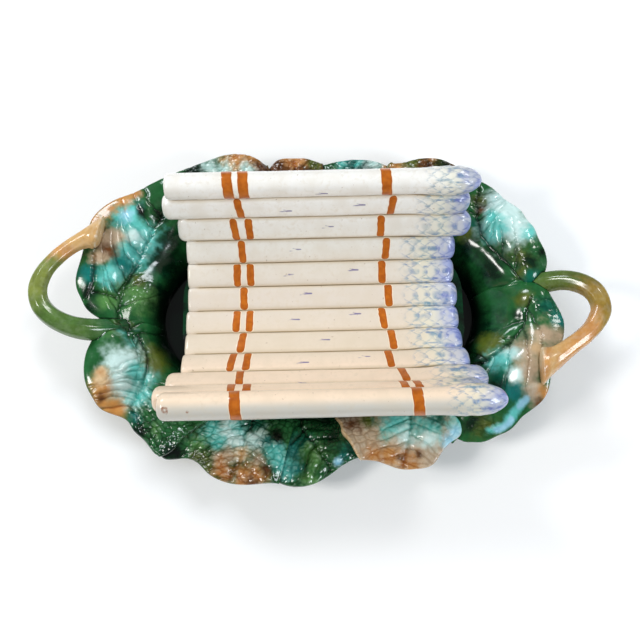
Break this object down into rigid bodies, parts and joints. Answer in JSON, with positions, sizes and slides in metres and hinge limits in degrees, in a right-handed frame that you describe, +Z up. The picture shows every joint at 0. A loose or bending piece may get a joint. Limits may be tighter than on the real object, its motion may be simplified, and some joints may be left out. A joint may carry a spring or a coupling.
{
  "type": "asparagus server",
  "caption": "Glazed earthenware asparagus server: an oval leaf dish with two stem handles, holding a lift-off trough of white stalks.",
  "frame": {"origin": "middle of the dish, on the table it stands on", "axes": "+X along the stalks towards the bud tips, +Y towards the back of the dish as pictured, +Z up"},
  "size_m": [0.4003, 0.2461, 0.0966],
  "materials": {
    "leaf_glaze": "gloss",
    "stem_glaze": "gloss",
    "stalk_glaze": "gloss",
    "well_glaze": "gloss",
    "stand_glaze": "gloss",
    "bare_clay": "matte"
  },
  "bodies": {
    "platter": {"well_floor": "well_glaze", "foot_ring": "bare_clay", "leaf_right_upper": "leaf_glaze", "leaf_back_right": "leaf_glaze", "leaf_back_mid_right": "leaf_glaze", "leaf_back_mid_left": "leaf_glaze", "leaf_back_left": "leaf_glaze", "leaf_left_upper": "leaf_glaze", "leaf_left_lower": "leaf_glaze", "leaf_front_left": "leaf_glaze", "leaf_front_mid": "leaf_glaze", "leaf_front_right": "leaf_glaze", "leaf_right_lower": "leaf_glaze", "left_handle": "stem_glaze", "right_handle": "stem_glaze"},
    "cradle": {"cradle_stand": "stand_glaze", "stalk_01": "stalk_glaze", "stalk_02": "stalk_glaze", "stalk_03": "stalk_glaze", "stalk_04": "stalk_glaze", "stalk_05": "stalk_glaze", "stalk_06": "stalk_glaze", "stalk_07": "stalk_glaze", "stalk_08": "stalk_glaze", "stalk_09": "stalk_glaze", "stalk_10": "stalk_glaze", "stalk_11": "stalk_glaze", "stalk_12": "stalk_glaze"}
  },
  "joints": [
    {"name": "cradle_lift", "type": "slide", "parent": "platter", "child": "cradle", "axis": [0, 0, 1], "range_m": [0, 0.12]}
  ]
}
